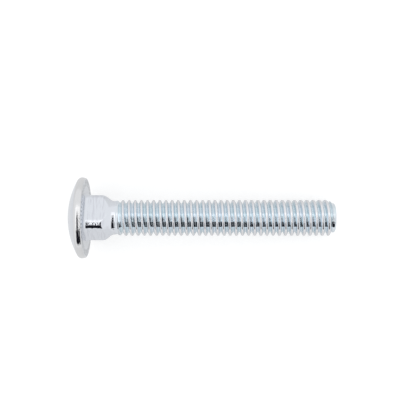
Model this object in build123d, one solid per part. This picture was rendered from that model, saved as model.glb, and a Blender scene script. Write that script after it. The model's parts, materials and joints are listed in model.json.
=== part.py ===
from build123d import *
import os
from math import asin, atan2, cos, degrees, hypot, radians, sin, sqrt, tan

# A round-head, square-neck carriage bolt, 3/8-16 UNC by 2-1/2 in, forged in one piece.
# It is built upright on its own axis, with the head's bearing face at Z = 0, the dome
# below and the shank above, and is then laid down on the rim of its head and the end of
# its thread. Millimetres and degrees.

# Head: a shallow dome with a rounded rim and a flat bearing face
head_diameter = 21.04
head_height = 4.6
rim_thickness = 1.64
rim_top_round = 1.04
rim_under_round = 0.65

# Square neck: flat sides with large corners, ending in a cone that runs into the shank
neck_width = 9.86
neck_corner_round = 2.15
neck_depth = 4.5
neck_cone_angle = 39
neck_root_fillet = 0.8
shoulder_fillet = 0.5

# Plain shank, as thick as the blank that the thread is rolled from
shank_diameter = 8.72
plain_shank_length = 1.2

# Thread: the cylinder over its crests, from its runout to its chamfered point
bolt_length = 64.2
thread_diameter = 9.37
runout_length = 1.5
point_length = 1.5
point_diameter = 7.2

# How the neck's nearest corner is turned away from straight up when the bolt lies down
neck_roll = 17.7

head_radius = head_diameter / 2
shank_radius = shank_diameter / 2
thread_radius = thread_diameter / 2

# the cone starts at the square's corners and ends where it is as thin as the shank
corner_reach = (neck_width / 2 - neck_corner_round) * sqrt(2) + neck_corner_round
cone_slope = tan(radians(neck_cone_angle))
shoulder_end = neck_depth + (corner_reach - shank_radius) / cone_slope
thread_start = shoulder_end + plain_shank_length


def make_head():
    """Dome, rim and bearing face, turned about the bolt's axis."""
    dome_rise = head_height - rim_thickness
    dome_radius = (head_radius**2 + dome_rise**2) / (2 * dome_rise)
    apex = (0, -head_height)
    rim_edge = (head_radius, -rim_thickness)
    with BuildPart() as head:
        with BuildSketch(Plane.XZ):
            with BuildLine():
                RadiusArc(apex, rim_edge, -dome_radius)
                Polyline(rim_edge, (head_radius, 0), (0, 0), apex)
            make_face()
        revolve(axis=Axis.Z)
        rims = head.edges().filter_by(GeomType.CIRCLE).sort_by(Axis.Z)
        fillet(rims[-1], rim_under_round)
        fillet(rims[-2], rim_top_round)
    return head.part


def turn(outline):
    """Solid of revolution about the bolt's axis, from (radius, height) points."""
    return revolve(make_face(Plane.XZ * outline), axis=Axis.Z)


def make_neck():
    """Square with rounded corners, cut to a cone that blends into the shank."""
    outline = FilletPolyline(
        (0, 0),
        (corner_reach + neck_depth * cone_slope, 0),
        (shank_radius, shoulder_end),
        (shank_radius, thread_start),
        (0, thread_start),
        radius=[0, shoulder_fillet, 0],
    )
    square = RectangleRounded(neck_width, neck_width, neck_corner_round, rotation=neck_roll - 45)
    return extrude(square, thread_start) & turn(outline + Line((0, thread_start), (0, 0)))


def make_shank():
    """Plain shank, thread runout, thread and chamfered point."""
    return turn(
        Polyline(
            (0, 0),
            (shank_radius, 0),
            (shank_radius, thread_start),
            (thread_radius, thread_start + runout_length),
            (thread_radius, bolt_length - point_length),
            (point_diameter / 2, bolt_length),
            (0, bolt_length),
            close=True,
        )
    )


def make_bolt():
    """The whole bolt as one solid, with the forged fillet around the root of its neck."""
    bolt = make_head() + make_neck() + make_shank()
    root_edges = bolt.edges().filter_by_position(Axis.Z, -0.01, 0.01)
    return fillet(root_edges.filter_by(lambda edge: edge.length < neck_width), neck_root_fillet)


def lay_down(bolt):
    """Tilt the bolt until head and thread both touch Z = 0, centred on the origin."""
    # the ground line passes through the end of the thread and is tangent to the rim
    run = bolt_length - point_length + rim_under_round
    drop = head_radius - rim_under_round - thread_radius
    tilt = atan2(drop, run) + asin(rim_under_round / hypot(drop, run))
    lying = Plane(
        origin=(0, 0, 0),
        x_dir=(sin(tilt), 0, cos(tilt)),
        z_dir=(cos(tilt), 0, -sin(tilt)),
    )
    bolt = lying.location * bolt
    box = bolt.bounding_box()
    bearing_centre = Vector(-box.center().X, 0, -box.min.Z)
    print(f"tilt {degrees(tilt):.4f} deg, bearing face centre {bearing_centre}")
    return Pos(bearing_centre) * bolt


os.makedirs("parts", exist_ok=True)
export_step(lay_down(make_bolt()), "parts/carriage_bolt.step")
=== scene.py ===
import json
import math

import bpy
from mathutils import Matrix, Vector, noise


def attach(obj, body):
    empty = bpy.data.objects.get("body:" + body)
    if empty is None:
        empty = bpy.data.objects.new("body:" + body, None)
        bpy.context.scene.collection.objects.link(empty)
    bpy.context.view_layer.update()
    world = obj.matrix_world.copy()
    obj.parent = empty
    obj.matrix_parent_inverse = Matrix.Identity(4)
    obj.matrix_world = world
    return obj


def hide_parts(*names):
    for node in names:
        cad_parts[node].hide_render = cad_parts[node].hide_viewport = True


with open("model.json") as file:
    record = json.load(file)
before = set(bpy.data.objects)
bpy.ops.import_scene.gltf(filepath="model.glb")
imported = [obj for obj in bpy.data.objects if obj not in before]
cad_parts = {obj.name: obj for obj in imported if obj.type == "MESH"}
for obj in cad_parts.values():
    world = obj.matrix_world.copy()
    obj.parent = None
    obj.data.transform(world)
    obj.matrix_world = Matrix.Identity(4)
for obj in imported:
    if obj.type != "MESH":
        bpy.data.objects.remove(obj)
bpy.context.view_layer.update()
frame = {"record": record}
mounts = {mount["name"]: mount for mount in frame["record"]["mounts"]}
print("frame loaded")

# where the bolt lies: its axis runs from the bearing face under its head to its tip
boltAxis = Vector(mounts["threaded_shank"]["axis"]).normalized()
shankPoint = Vector(mounts["threaded_shank"]["pos_m"])
facePoint = Vector(mounts["bearing_face"]["pos_m"])
bearingCentre = shankPoint + boltAxis * (facePoint - shankPoint).dot(boltAxis)
upAcross = Vector((-boltAxis.z, 0, boltAxis.x))  # square to the axis, pointing up
turned = Matrix((upAcross, boltAxis.cross(upAcross), boltAxis)).transposed()
lying = Matrix.Translation(bearingCentre) @ turned.to_4x4()
mm = 0.001

bolt = {  # all in millimetres, heights measured along the axis from the bearing face
    "headRadius": 10.52,
    "headHeight": 4.6,
    "rimThickness": 1.64,
    "rimTopRound": 1.04,
    "rimTaper": 0.16,  # how much narrower the rim is at its lower edge
    "rimUnderRound": 0.28,
    "neckHalfWidth": 4.93,
    "neckCorner": 2.15,
    "neckDepth": 4.6,
    "neckConeAngle": 39.0,
    "neckRoll": 17.7,  # degrees, from straight up to the nearest corner
    "rootFillet": 0.8,
    "shoulderRun": 0.6,  # how far before the cone the close rows start
    "coneBlend": 0.35,
    "shankBlend": 0.5,
    "shankRadius": 4.36,
    "threadFrom": 7.5,
    "threadFull": 9.9,
    "length": 64.2,
    "seamGap": 0.1,  # left between neck and thread for the faces that join them
    "endRings": [(0.95, 0), (0.8, 0.10), (0.6, 0.05), (0.9, 0)],  # shrink and sink of each ring
    "segments": 96,
}
thread = {  # rolled 3/8-16 UNC, right-hand, millimetres
    "radius": mounts["threaded_shank"]["dims"]["r_mm"],
    "pitch": 25.4 / 16,
    "crestAt": 0.375,  # height of a crest on the upper side, less whole turns
    "crestRoundNearHead": 0.32,  # the first turns are rolled less deep, so their crests are fuller
    "crestRoundNearTip": 0.25,
    "rootRound": 0.11,
    "crestTilts": [10, 26, 43, 60],  # how far the crest's rows lean, in degrees
    "rootTilts": [60, 40, 20],
    "pointFrom": 62.5,
    "pointRadius": 3.82,
    "pointRise": 0.25,  # how far over the crests the point's cone starts
    "pointBlend": 0.12,
    "endRadius": 3.6,
    "endRound": 0.45,
    "endBulge": 0.5,
    "growth": 0.8,  # under 1, the runout deepens fastest at its start
    "drawnAt": 4.0,  # radius of the outline before it is shaped
    "wanderScale": (2.3, 0.9),  # round and along
    "wander": 0.05,  # share by which the crest's fullness changes along the turns
}


def deselectAll():
    if bpy.context.object and bpy.context.object.mode != "OBJECT":
        bpy.ops.object.mode_set(mode="OBJECT")
    bpy.ops.object.select_all(action="DESELECT")


def pickOnly(piece):
    deselectAll()
    piece.select_set(True)
    bpy.context.view_layer.objects.active = piece


def arc(centre, radius, fromDegrees, toDegrees, count):
    points = []
    for i in range(count + 1):
        angle = math.radians(fromDegrees + (toDegrees - fromDegrees) * i / count)
        points.append((centre[0] + radius * math.cos(angle), centre[1] + radius * math.sin(angle)))
    return points


def drawOutline(name, points):
    deselectAll()
    bpy.ops.mesh.primitive_plane_add(size=1.0, location=(points[0][0], 0, points[0][1]))
    piece = bpy.context.object
    piece.name = piece.data.name = name
    bpy.ops.object.mode_set(mode="EDIT")
    bpy.ops.mesh.merge(type="CENTER")  # one point left, drawn out along the outline
    for (fromR, fromZ), (r, z) in zip(points, points[1:]):
        bpy.ops.mesh.extrude_vertices_move(TRANSFORM_OT_translate={"value": (r - fromR, 0, z - fromZ)})
    bpy.ops.object.mode_set(mode="OBJECT")
    bpy.ops.object.transform_apply(location=True, rotation=False, scale=False)
    return piece


def sweepRound(piece, steps, rise=0.0, turns=1):
    pickOnly(piece)
    screw = piece.modifiers.new("sweep", "SCREW")
    screw.axis = "Z"
    screw.angle = 2 * math.pi
    screw.screw_offset = rise
    screw.iterations = turns
    screw.steps = screw.render_steps = steps
    screw.use_merge_vertices = False
    bpy.ops.object.modifier_apply(modifier="sweep")
    bpy.ops.object.mode_set(mode="EDIT")
    bpy.ops.mesh.select_all(action="SELECT")
    bpy.ops.mesh.remove_doubles(threshold=0.0005)
    bpy.ops.object.mode_set(mode="OBJECT")


def blendMin(a, b, width):
    overlap = max(width - abs(a - b), 0) / width
    return min(a, b) - overlap * overlap * width / 4


def blendMax(a, b, width):
    return -blendMin(-a, -b, width)


# head and neck are one outline swept round, and then the neck is pushed out to its square
def headOutline():
    b = bolt
    rise = b["headHeight"] - b["rimThickness"]
    domeRadius = (b["headRadius"] ** 2 + rise**2) / (2 * rise)
    domeCentre = domeRadius - b["headHeight"]
    topRound = b["rimTopRound"]
    rimCentreR = b["headRadius"] - topRound
    rimCentreZ = domeCentre - math.sqrt((domeRadius - topRound) ** 2 - rimCentreR**2)
    lean = math.degrees(math.atan2(rimCentreR, domeCentre - rimCentreZ))
    underRound = b["rimUnderRound"]
    points = arc((0, domeCentre), domeRadius, -90, lean - 90, 22)
    points += arc((rimCentreR, rimCentreZ), topRound, lean - 90, 0, 9)[1:]
    faceEdge = b["headRadius"] - b["rimTaper"] - underRound
    rimBottom = -underRound
    for i in range(1, 6):  # the rim draws in a little towards the face, along a shallow curve
        share = i / 5
        drop = (rimBottom - rimCentreZ) * share
        points.append((b["headRadius"] - b["rimTaper"] * share**2, rimCentreZ + drop))
    points += arc((faceEdge, rimBottom), underRound, 0, 90, 6)[1:]
    rootEdge = b["neckHalfWidth"] + b["rootFillet"]
    points += [(faceEdge + (rootEdge - faceEdge) * i / 10, 0) for i in range(1, 11)]
    points += arc((rootEdge, b["rootFillet"]), b["rootFillet"], -90, -180, 8)[1:]
    shoulderFrom = b["neckDepth"] - b["shoulderRun"]
    neckTop = b["threadFrom"] - b["seamGap"]
    for start, end, rows in ((b["rootFillet"], shoulderFrom, 4), (shoulderFrom, neckTop, 32)):
        points += [(b["neckHalfWidth"], start + (end - start) * i / rows) for i in range(1, rows + 1)]
    return points


def squareReach(angle):
    half, corner = bolt["neckHalfWidth"], bolt["neckCorner"]
    fromFlat = (angle - math.radians(bolt["neckRoll"] - 45)) % (math.pi / 2)
    fromFlat = min(fromFlat, math.pi / 2 - fromFlat)
    middle = half - corner
    if math.tan(fromFlat) * half <= middle:
        return half / math.cos(fromFlat)
    along = middle * (math.cos(fromFlat) + math.sin(fromFlat))
    return along + math.sqrt(along**2 - 2 * middle**2 + corner**2)


def squareTheNeck(piece):
    b = bolt
    cornerReach = (b["neckHalfWidth"] - b["neckCorner"]) * math.sqrt(2) + b["neckCorner"]
    slope = math.tan(math.radians(b["neckConeAngle"]))
    faceEdge = b["headRadius"] - b["rimTaper"] - b["rimUnderRound"]
    nearly = 0.0001
    axisGap = 0.01  # the crown's middle point has no way to slide
    for vertex in piece.data.vertices:
        x, y, z = vertex.co
        radius = math.hypot(x, y)
        if z < -nearly or radius < axisGap:
            continue
        reach = squareReach(math.atan2(y, x))
        if z <= b["rootFillet"] + nearly:  # the face and the root fillet slide out with the square
            rootEdge = b["neckHalfWidth"] + b["rootFillet"]
            if radius > rootEdge:
                share = (faceEdge - radius) / (faceEdge - rootEdge)
                goal = radius + share * (reach - b["neckHalfWidth"])
            else:
                goal = radius + reach - b["neckHalfWidth"]
        else:
            cone = cornerReach - (z - b["neckDepth"]) * slope
            goal = blendMax(blendMin(reach, cone, b["coneBlend"]), b["shankRadius"], b["shankBlend"])
        vertex.co = (x * goal / radius, y * goal / radius, z)


headPiece = drawOutline("headAndNeck", headOutline())
sweepRound(headPiece, bolt["segments"])
squareTheNeck(headPiece)
print("head and neck swept:", len(headPiece.data.polygons), "faces")


# the thread is one turn's outline swept up a helix, and then each row is set to its depth
def crestRoundAt(height):
    share = min(max((height - bolt["threadFrom"]) / (bolt["length"] - bolt["threadFrom"]), 0), 1)
    nearHead, nearTip = thread["crestRoundNearHead"], thread["crestRoundNearTip"]
    return nearHead + share * (nearTip - nearHead)


def threadRows(crestRound):
    # distance from the crest and drop below it, for each row down one flank
    half, rootRound = thread["pitch"] / 2, thread["rootRound"]
    leans = [math.radians(tilt) for tilt in thread["crestTilts"]]
    crest = [(crestRound * math.sin(a), crestRound * (1 - math.cos(a))) for a in leans]
    run = half - crest[-1][0] - rootRound * math.sin(math.radians(60))
    depth = crest[-1][1] + run * math.sqrt(3) + rootRound / 2
    leans = [math.radians(tilt) for tilt in thread["rootTilts"]]
    root = [(half - rootRound * math.sin(a), depth - rootRound * (1 - math.cos(a))) for a in leans]
    flank = []  # a row near each end of the flank keeps it straight
    for share in (0.1, 0.9):
        flank.append([a + share * (b - a) for a, b in zip(crest[-1], root[0])])
    return [(0.0, 0.0)] + crest + flank + root + [(half, depth)]


def cutBack(radius, height):
    # the runout at the head's end, and the chamfered, rounded point at the other
    share = (height - bolt["threadFrom"]) / (bolt["threadFull"] - bolt["threadFrom"])
    grown = min(max(share, 0), 1) ** thread["growth"]
    radius = bolt["shankRadius"] + grown * (radius - bolt["shankRadius"])
    coneRadius = thread["radius"] + thread["pointRise"] - (height - thread["pointFrom"])
    point = max(coneRadius, thread["pointRadius"])
    lastBit, endRound = bolt["length"] - height, thread["endRound"]
    if lastBit < endRound:
        bulge = math.sqrt(max(endRound**2 - (endRound - max(lastBit, 0)) ** 2, 0))
        point = min(point, thread["endRadius"] + thread["endBulge"] * bulge)
    return blendMin(radius, point, thread["pointBlend"])


def shapeThread(piece):
    half = thread["pitch"] / 2
    around, along = thread["wanderScale"]
    reference = [distance for distance, drop in threadRows(crestRoundAt(0))]
    for vertex in piece.data.vertices:
        x, y, z = vertex.co
        angle = math.atan2(y, x)
        crestHeight = thread["crestAt"] + thread["pitch"] * angle / (2 * math.pi)
        offset = (z - crestHeight + half) % thread["pitch"] - half
        row = min(range(len(reference)), key=lambda k: abs(reference[k] - abs(offset)))
        rough = noise.noise(Vector((math.cos(angle) * around, math.sin(angle) * around, z * along)))
        distance, drop = threadRows(crestRoundAt(z) * (1 + thread["wander"] * rough))[row]
        height = z + math.copysign(distance - reference[row], offset)
        radius = cutBack(thread["radius"] - drop, height)
        vertex.co = (radius * math.cos(angle), radius * math.sin(angle), height)


firstTurn = math.floor((bolt["threadFrom"] - thread["crestAt"]) / thread["pitch"]) - 1
lastTurn = math.ceil((bolt["length"] - thread["crestAt"]) / thread["pitch"]) + 1
startHeight = thread["crestAt"] + firstTurn * thread["pitch"]
side = [distance for distance, drop in threadRows(crestRoundAt(0))]
rows = [-distance for distance in reversed(side)] + side[1:]
threadPiece = drawOutline("thread", [(thread["drawnAt"], startHeight + row) for row in rows])
sweepRound(threadPiece, bolt["segments"], rise=thread["pitch"], turns=lastTurn - firstTurn)
shapeThread(threadPiece)
print("thread swept:", len(threadPiece.data.polygons), "faces")


def trimThread(piece):
    pickOnly(piece)
    bpy.ops.object.mode_set(mode="EDIT")
    bpy.ops.mesh.select_all(action="SELECT")
    bpy.ops.mesh.bisect(plane_co=(0, 0, bolt["threadFrom"]), plane_no=(0, 0, -1), clear_outer=True)
    bpy.ops.mesh.select_all(action="SELECT")
    bpy.ops.mesh.bisect(plane_co=(0, 0, bolt["length"]), plane_no=(0, 0, 1), clear_outer=True)
    for shrink, sink in bolt["endRings"]:  # the cut edge drawn in towards the axis, ring by ring
        bpy.ops.mesh.extrude_edges_move(TRANSFORM_OT_translate={"value": (0, 0, -sink)})
        bpy.ops.transform.resize(value=(shrink, shrink, 1), center_override=(0, 0, bolt["length"]))
    bpy.ops.mesh.edge_face_add()
    bpy.ops.object.mode_set(mode="OBJECT")


trimThread(threadPiece)


def joinUp(first, second):
    pickOnly(first)
    second.select_set(True)
    bpy.ops.object.join()
    piece = bpy.context.object
    bpy.ops.object.mode_set(mode="EDIT")
    bpy.ops.mesh.select_all(action="DESELECT")
    bpy.ops.mesh.select_non_manifold(
        extend=False,
        use_wire=False,
        use_boundary=True,
        use_multi_face=False,
        use_non_contiguous=False,
        use_verts=False,
    )
    bpy.ops.mesh.bridge_edge_loops()
    bpy.ops.mesh.select_all(action="SELECT")
    bpy.ops.mesh.normals_make_consistent(inside=False)
    bpy.ops.object.mode_set(mode="OBJECT")
    return piece


boltPiece = joinUp(headPiece, threadPiece)
boltPiece.name = boltPiece.data.name = "carriageBolt"
boltPiece.matrix_world = lying @ Matrix.Scale(mm, 4)
pickOnly(boltPiece)
bpy.ops.object.transform_apply(location=True, rotation=True, scale=True)
bpy.ops.object.shade_smooth_by_angle(angle=math.radians(50))
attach(boltPiece, "root")
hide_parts("carriage_bolt")
facesAtEdge = {}
for face in boltPiece.data.polygons:
    for key in face.edge_keys:
        facesAtEdge[key] = facesAtEdge.get(key, 0) + 1
openEdges = sum(1 for count in facesAtEdge.values() if count != 2)
print("bolt joined:", len(boltPiece.data.polygons), "faces,", openEdges, "open edges")


def toLinear(hexColour):
    values = [int(hexColour[i : i + 2], 16) / 255 for i in (1, 3, 5)]
    return [v / 12.92 if v <= 0.04045 else ((v + 0.055) / 1.055) ** 2.4 for v in values] + [1.0]


def addNode(tree, kind, links=None, **settings):
    node = tree.nodes.new("ShaderNode" + kind)
    for name, value in settings.items():
        setattr(node, name, value)
    for socket, value in (links or {}).items():
        if isinstance(value, bpy.types.Node):  # a node stands for its first output
            value = value.outputs[0]
        if isinstance(value, bpy.types.NodeSocket):
            tree.links.new(value, node.inputs[socket])
        else:
            node.inputs[socket].default_value = value
    return node


# Bright zinc plating with a clear passivate, barrel-plated over a forged and rolled bolt:
# a pale mirror with a fine grain, faintly blue in the grooves, paler and drier on the crests, with
# painted shade darkening the crest edges.
zincFinish = {
    "flats": "#DFE2E8",
    "grooves": "#DCE6EB",
    "grooveStreaks": "#E3E9EF",
    "crests": "#E6E6E8",
    # painted shade: the crests' rounded edges are coloured darker grey
    "crestEdgeShade": "#AFAEB3",
    "neckLines": "#D5D7DE",
    "rim": "#DDDDDE",
    "stain": "#8E8377",
    "dieMarkTint": "#3F4E57",
    "crestEdgeShadeShare": 0.35,  # how much of the painted shade on the crest edges shows
    "roughness": (0.035, 0.085),
    "blotchScale": 0.45,  # blotches to a mm
    "crestRoughness": 0.13,
    "rimRoughness": 0.11,
    "stainRoughness": 0.5,
    "grainSize": 0.34,  # mm; drawn coarser than the real grain, so that it shows
    "grainHeight": 0.03,  # mm, everywhere but the thread
    "grainHeightThread": 0.0015,
    "waveSize": 1.6,
    "waveHeight": 0.012,
    "neckLineSize": 0.42,  # mm between the trimming lines across the neck
    "neckLineHeight": 0.004,
    "shankLineSize": 0.30,  # mm between the drawing lines along the plain shank
    "shankLineHeight": 0.03,
    "rollLineSize": 0.30,  # mm between the rolling lines round the thread
    "rollLineHeight": 0.0015,
    "speckSpacing": 2.6,
    "speckSize": 0.13,
    "dieMarks": 54,  # round the edge of the bearing face
    "dieMarkHeight": 0.02,
    "dieMarkPatches": 1.1,  # patches to a mm where the marks are fainter
}
zincSpans = {  # mm along the axis or out from it: where each finish starts to show, and where it is full
    "thread": (bolt["threadFrom"], bolt["threadFrom"] + 1.0),
    "groove": (4.58, 4.35),
    "crest": (4.57, 4.65),
    "nearCrest": (4.46, 4.54),
    "rim": (9.9, 10.3),
    "pastRoot": (0.3, 0.8),
    "beforeCone": (5.6, 4.8),
    "pastCone": (5.2, 5.8),
    "beforeThread": (8.2, 7.8),
    "bearingFace": (0.05, 0.02),
    "marksFrom": (7.9, 8.6),
    "marksTo": (10.05, 9.85),
}


def brightZinc():
    look = zincFinish
    zinc = bpy.data.materials.new("brightZincPlating")
    zinc.use_nodes = True
    tree = zinc.node_tree
    shader = tree.nodes["Principled BSDF"]
    shader.inputs["Metallic"].default_value = 1.0
    soft = {"interpolation_type": "SMOOTHSTEP"}

    # object coordinates turned into the bolt's own: Z along its axis from the bearing face, in mm
    own = lying.inverted()
    place = addNode(tree, "Mapping", {
        "Vector": addNode(tree, "TexCoord").outputs["Object"],
        "Location": own.to_translation() / mm,
        "Rotation": own.to_euler(),
        "Scale": (1 / mm,) * 3,
    })
    parts = addNode(tree, "SeparateXYZ", {0: place})
    x, y, z = parts.outputs
    flat = addNode(tree, "CombineXYZ", {0: x, 1: y})
    reach = addNode(tree, "VectorMath", {0: flat}, operation="LENGTH").outputs["Value"]

    # where each finish shows, from 0 to 1
    distance = addNode(tree, "Math", {0: z}, operation="ABSOLUTE")
    shows = {}
    for source, names in (
        (z, ("thread", "pastRoot", "beforeCone", "pastCone", "beforeThread")),
        (reach, ("groove", "crest", "nearCrest", "rim", "marksFrom", "marksTo")),
        (distance, ("bearingFace",)),
    ):
        for name in names:
            start, full = zincSpans[name]
            shows[name] = addNode(tree, "MapRange", {0: source, 1: start, 2: full}, **soft)
    rim = shows["rim"]
    # painted shade: the band where each crest rounds off into its flanks
    edge = {0: shows["nearCrest"], 1: shows["crest"]}
    shows["crestEdgeShadeBand"] = addNode(tree, "Math", edge, operation="SUBTRACT", use_clamp=True)
    both = {}
    for name, first, second in (
        ("groove", "groove", "thread"),
        ("crest", "crest", "thread"),
        ("crestEdgeShadeBand", "crestEdgeShadeBand", "thread"),
        ("neck", "pastRoot", "beforeCone"),
        ("shank", "pastCone", "beforeThread"),
        ("face", "bearingFace", "marksFrom"),
    ):
        pair = {0: shows[first], 1: shows[second]}
        both[name] = addNode(tree, "Math", pair, operation="MULTIPLY")
    crest = both["crest"]
    share = look["crestEdgeShadeShare"]
    edge = addNode(tree, "Math", {0: both["crestEdgeShadeBand"], 1: share}, operation="MULTIPLY")

    # the press's marks round the edge of the bearing face
    angle = addNode(tree, "Math", {0: y, 1: x}, operation="ARCTAN2")
    turns = addNode(tree, "Math", {0: angle, 1: look["dieMarks"]}, operation="MULTIPLY")
    wave = addNode(tree, "Math", {0: turns}, operation="SINE")
    patches = {"Vector": place, "Scale": look["dieMarkPatches"], "Detail": 1.0}
    patchy = addNode(tree, "TexNoise", patches)
    patchy = addNode(tree, "MapRange", {0: patchy, 1: 0.3, 2: 0.5}, **soft)
    onFace = addNode(tree, "Math", {0: both["face"], 1: shows["marksTo"]}, operation="MULTIPLY")
    onFace = addNode(tree, "Math", {0: onFace, 1: patchy}, operation="MULTIPLY")
    marks = addNode(tree, "Math", {0: wave, 1: onFace}, operation="MULTIPLY")
    marked = addNode(tree, "MapRange", {0: marks, 1: 0.0, 2: 0.6}, **soft)

    # small brown stains, in about half of the cells
    cells = addNode(tree, "TexVoronoi", {"Vector": place, "Scale": 1 / look["speckSpacing"]})
    size = look["speckSize"] / look["speckSpacing"]
    inSpeck = {0: cells.outputs["Distance"], 1: size, 2: size / 2}
    inSpeck = addNode(tree, "MapRange", inSpeck, **soft)
    lot = addNode(tree, "SeparateColor", {0: cells.outputs["Color"]})
    chosen = addNode(tree, "Math", {0: lot, 1: 0.5}, operation="GREATER_THAN")
    speck = addNode(tree, "Math", {0: inSpeck, 1: chosen}, operation="MULTIPLY")

    # lines round the thread, across the neck and along the shank
    lines = {}
    for name, stretch, size in (
        ("thread", (0.07, 0.07, 1), look["rollLineSize"]),
        ("neck", (0.12, 0.12, 1), look["neckLineSize"]),
        ("shank", (1, 1, 0.05), look["shankLineSize"]),
    ):
        way = addNode(tree, "Mapping", {"Vector": place, "Scale": stretch})
        lines[name] = addNode(tree, "TexNoise", {"Vector": way, "Scale": 1 / size, "Detail": 2.0})
    streak = addNode(tree, "MapRange", {0: lines["thread"], 1: 0.42, 2: 0.60}, **soft)
    trim = addNode(tree, "MapRange", {0: lines["neck"], 1: 0.45, 2: 0.65}, **soft)
    trim = addNode(tree, "Math", {0: trim, 1: both["neck"]}, operation="MULTIPLY")

    # colour, each finish laid over the ones before it
    tint = {0: streak, 6: toLinear(look["grooves"]), 7: toLinear(look["grooveStreaks"])}
    tint = addNode(tree, "Mix", tint, data_type="RGBA").outputs[2]
    colour = {0: both["groove"], 6: toLinear(look["flats"]), 7: tint}
    colour = addNode(tree, "Mix", colour, data_type="RGBA").outputs[2]
    for where, name in (
        (crest, "crests"),
        # painted shade along the crest edges
        (edge, "crestEdgeShade"),
        (trim, "neckLines"),
        (rim, "rim"),
        (marked, "dieMarkTint"),
        (speck, "stain"),
    ):
        layer = {0: where, 6: colour, 7: toLinear(look[name])}
        colour = addNode(tree, "Mix", layer, data_type="RGBA").outputs[2]
    tree.links.new(colour, shader.inputs["Base Color"])

    # roughness
    blotches = {"Vector": place, "Scale": look["blotchScale"], "Detail": 3.0}
    blotches = addNode(tree, "TexNoise", blotches)
    smooth, dull = look["roughness"]
    rough = addNode(tree, "MapRange", {0: blotches, 1: 0.35, 2: 0.65, 3: smooth, 4: dull})
    for where, name in ((crest, "crestRoughness"), (rim, "rimRoughness"), (speck, "stainRoughness")):
        rough = addNode(tree, "Mix", {0: where, 2: rough, 3: look[name]})
    tree.links.new(rough.outputs[0], shader.inputs["Roughness"])

    # relief
    grain = {"Vector": place, "Scale": 1 / look["grainSize"], "Detail": 2.0}
    grain = addNode(tree, "TexNoise", grain)
    tall = {0: shows["thread"], 3: look["grainHeight"], 4: look["grainHeightThread"]}
    tall = addNode(tree, "MapRange", tall)
    height = addNode(tree, "Math", {0: grain, 1: tall}, operation="MULTIPLY")
    swell = {"Vector": place, "Scale": 1 / look["waveSize"], "Detail": 1.0}
    swell = addNode(tree, "TexNoise", swell)
    swell = {0: swell, 1: look["waveHeight"], 2: height}
    height = addNode(tree, "Math", swell, operation="MULTIPLY_ADD")
    for name, where, tall in (
        ("neck", both["neck"], look["neckLineHeight"]),
        ("shank", both["shank"], look["shankLineHeight"]),
        ("thread", shows["thread"], look["rollLineHeight"]),
    ):
        here = addNode(tree, "Math", {0: where, 1: tall}, operation="MULTIPLY")
        layer = {0: lines[name], 1: here, 2: height}
        height = addNode(tree, "Math", layer, operation="MULTIPLY_ADD")
    layer = {0: marks, 1: look["dieMarkHeight"], 2: height}
    height = addNode(tree, "Math", layer, operation="MULTIPLY_ADD")
    bump = addNode(tree, "Bump", {"Height": height, "Strength": 1.0, "Distance": mm})
    tree.links.new(bump.outputs[0], shader.inputs["Normal"])
    return zinc


boltPiece.data.materials.clear()
boltPiece.data.materials.append(brightZinc())
print("zinc plating made")

studio = {  # sizes in metres
    "floorSize": 8.0,
    "floorPaper": "#F4F4F4",
    "floorPale": (0.5, 0.5, 0.5, 1),  # the lit share of what the camera and the plating see
    "floorGlow": 0.36,
    "floorGlowToCamera": 0.24,
    "room": (0.98, 0.99, 1.0, 1),
    "lampSize": 2.4,
    "lampHeight": 2.2,
    "lampExtra": 0.1,  # radiance added to the room's
    "cardDistance": 2.0,
}

bpy.ops.mesh.primitive_plane_add(size=studio["floorSize"], location=(0, 0, 0))
floor = bpy.context.object
floor.name = "floor"
paper = bpy.data.materials.new("whitePaper")
paper.use_nodes = True
tree = paper.node_tree
tree.nodes.clear()
ray = addNode(tree, "LightPath")
matt = addNode(tree, "BsdfDiffuse", {"Color": toLinear(studio["floorPaper"])})
pale = addNode(tree, "BsdfDiffuse", {"Color": studio["floorPale"]})
toCamera, toGloss = ray.outputs["Is Camera Ray"], ray.outputs["Is Glossy Ray"]
strength = {0: toCamera, 1: studio["floorGlowToCamera"], 2: studio["floorGlow"]}
strength = addNode(tree, "Math", strength, operation="MULTIPLY_ADD")
glow = addNode(tree, "Emission", {"Strength": strength})
both = addNode(tree, "AddShader", {0: pale, 1: glow})
looked = addNode(tree, "Math", {0: toCamera, 1: toGloss}, operation="MAXIMUM")
looked = {0: looked, 1: ray.outputs["Is Transmission Ray"]}
looked = addNode(tree, "Math", looked, operation="MAXIMUM")
seen = addNode(tree, "MixShader", {0: looked, 1: matt, 2: both})
addNode(tree, "OutputMaterial", {"Surface": seen})
floor.data.materials.append(paper)

world = bpy.data.worlds.new("studio")
bpy.context.scene.world = world
world.use_nodes = True
tree = world.node_tree
tree.nodes.clear()
ray = addNode(tree, "LightPath")
room = addNode(tree, "Background", {"Color": studio["room"], "Strength": 1.0})
backdrop = addNode(tree, "Background", {"Color": (1, 1, 1, 1), "Strength": 1.0})
sky = addNode(tree, "MixShader", {0: ray.outputs["Is Camera Ray"], 1: room, 2: backdrop})
addNode(tree, "OutputWorld", {"Surface": sky})

# cards over the bolt that only its plating shows: a bright panel round the camera, the camera's
# boom, and a black flag beyond it. Lean is to the side and side is along the bolt, in degrees from
# straight up. Fade is how far each edge takes to reach full strength: near lean, far lean, and the
# sides by head and tip. Behind is metres past the card distance.
cards = {
    "brightPanel": {
        "lean": (-45, 34),
        "side": (-30, 30),
        "fade": (22, 4, 8, 8),
        "colour": (1.45, 1.45, 1.45),
        "behind": 0.1,
    },
    "blackFlag": {
        "lean": (28, 80),
        "side": (-20, 26),
        "fade": (5, 3, 3, 3),
        "colour": (0.012, 0.013, 0.018),
        "behind": 0,
    },
    "cameraBoom": {
        "lean": (-33, 30),
        "side": (-8.3, 22),
        "fade": (42, 1, 0.6, 6),
        "colour": (0.03, 0.03, 0.04),
        "behind": -0.1,
    },
}


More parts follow.
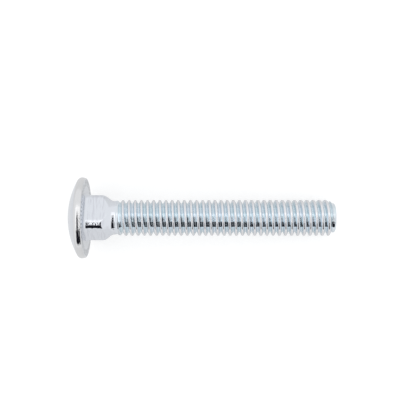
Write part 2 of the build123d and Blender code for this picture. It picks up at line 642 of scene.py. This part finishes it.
def hangCard(name, lean, side, fade, colour, behind):
    bpy.ops.mesh.primitive_grid_add(x_subdivisions=12, y_subdivisions=16, size=1)
    card = bpy.context.object
    card.name = name
    far = studio["cardDistance"] + behind
    for vertex in card.data.vertices:
        tip = math.radians(lean[0] + (vertex.co.y + 0.5) * (lean[1] - lean[0]))
        turn = math.radians(side[0] + (vertex.co.x + 0.5) * (side[1] - side[0]))
        across = boltAxis * math.sin(turn) + Vector((0, -1, 0)) * math.cos(turn) * math.sin(tip)
        vertex.co = far * (across + upAcross * math.cos(turn) * math.cos(tip))
    card.visible_camera = card.visible_diffuse = card.visible_shadow = False
    cloth = bpy.data.materials.new(name)
    cloth.use_nodes = True
    cloth.cycles.emission_sampling = "NONE"
    tree = cloth.node_tree
    tree.nodes.clear()
    spots = addNode(tree, "SeparateXYZ", {0: addNode(tree, "TexCoord").outputs["UV"]})
    tall, wide = lean[1] - lean[0], side[1] - side[0]
    share = 1.0
    for spot, start, end in (
        (spots.outputs[1], 0, fade[0] / tall),
        (spots.outputs[1], 1, 1 - fade[1] / tall),
        (spots.outputs[0], 0, fade[2] / wide),
        (spots.outputs[0], 1, 1 - fade[3] / wide),
    ):
        span = {0: spot, 1: start, 2: end}
        edge = addNode(tree, "MapRange", span, interpolation_type="SMOOTHSTEP")
        share = addNode(tree, "Math", {0: edge, 1: share}, operation="MULTIPLY")
    face = addNode(tree, "Emission", {"Color": (*colour, 1), "Strength": 1.0})
    veil = addNode(tree, "MixShader", {0: share, 1: addNode(tree, "BsdfTransparent"), 2: face})
    addNode(tree, "OutputMaterial", {"Surface": veil})
    card.data.materials.append(cloth)


for name, card in cards.items():
    hangCard(name, **card)

lamp = bpy.data.lights.new("softBox", "AREA")
lamp.shape = "SQUARE"
lamp.size = studio["lampSize"]
lamp.energy = studio["lampExtra"] * math.pi * studio["lampSize"] ** 2
softBox = bpy.data.objects.new("softBox", lamp)
softBox.location = (0, 0, studio["lampHeight"])
bpy.context.collection.objects.link(softBox)
print("studio set up")

view = {  # metres, and the lens in mm
    "distance": 0.200,
    "lens": 69.4,
    "footFromFace": 0.02944,
    "axisBelowCentre": 0.00462,
    "clip": (0.01, 50),
}
target = bearingCentre + boltAxis * view["footFromFace"] + Vector((0, view["axisBelowCentre"], 0))
cameraData = bpy.data.cameras.new("camera")
cameraData.lens = view["lens"]
cameraData.clip_start, cameraData.clip_end = view["clip"]
camera = bpy.data.objects.new("camera", cameraData)
bpy.context.collection.objects.link(camera)
facing = Matrix((boltAxis, Vector((0, 1, 0)), upAcross)).transposed()
camera.matrix_world = Matrix.Translation(target + upAcross * view["distance"]) @ facing.to_4x4()
bpy.context.scene.camera = camera
bpy.context.scene.view_settings.view_transform = "Standard"
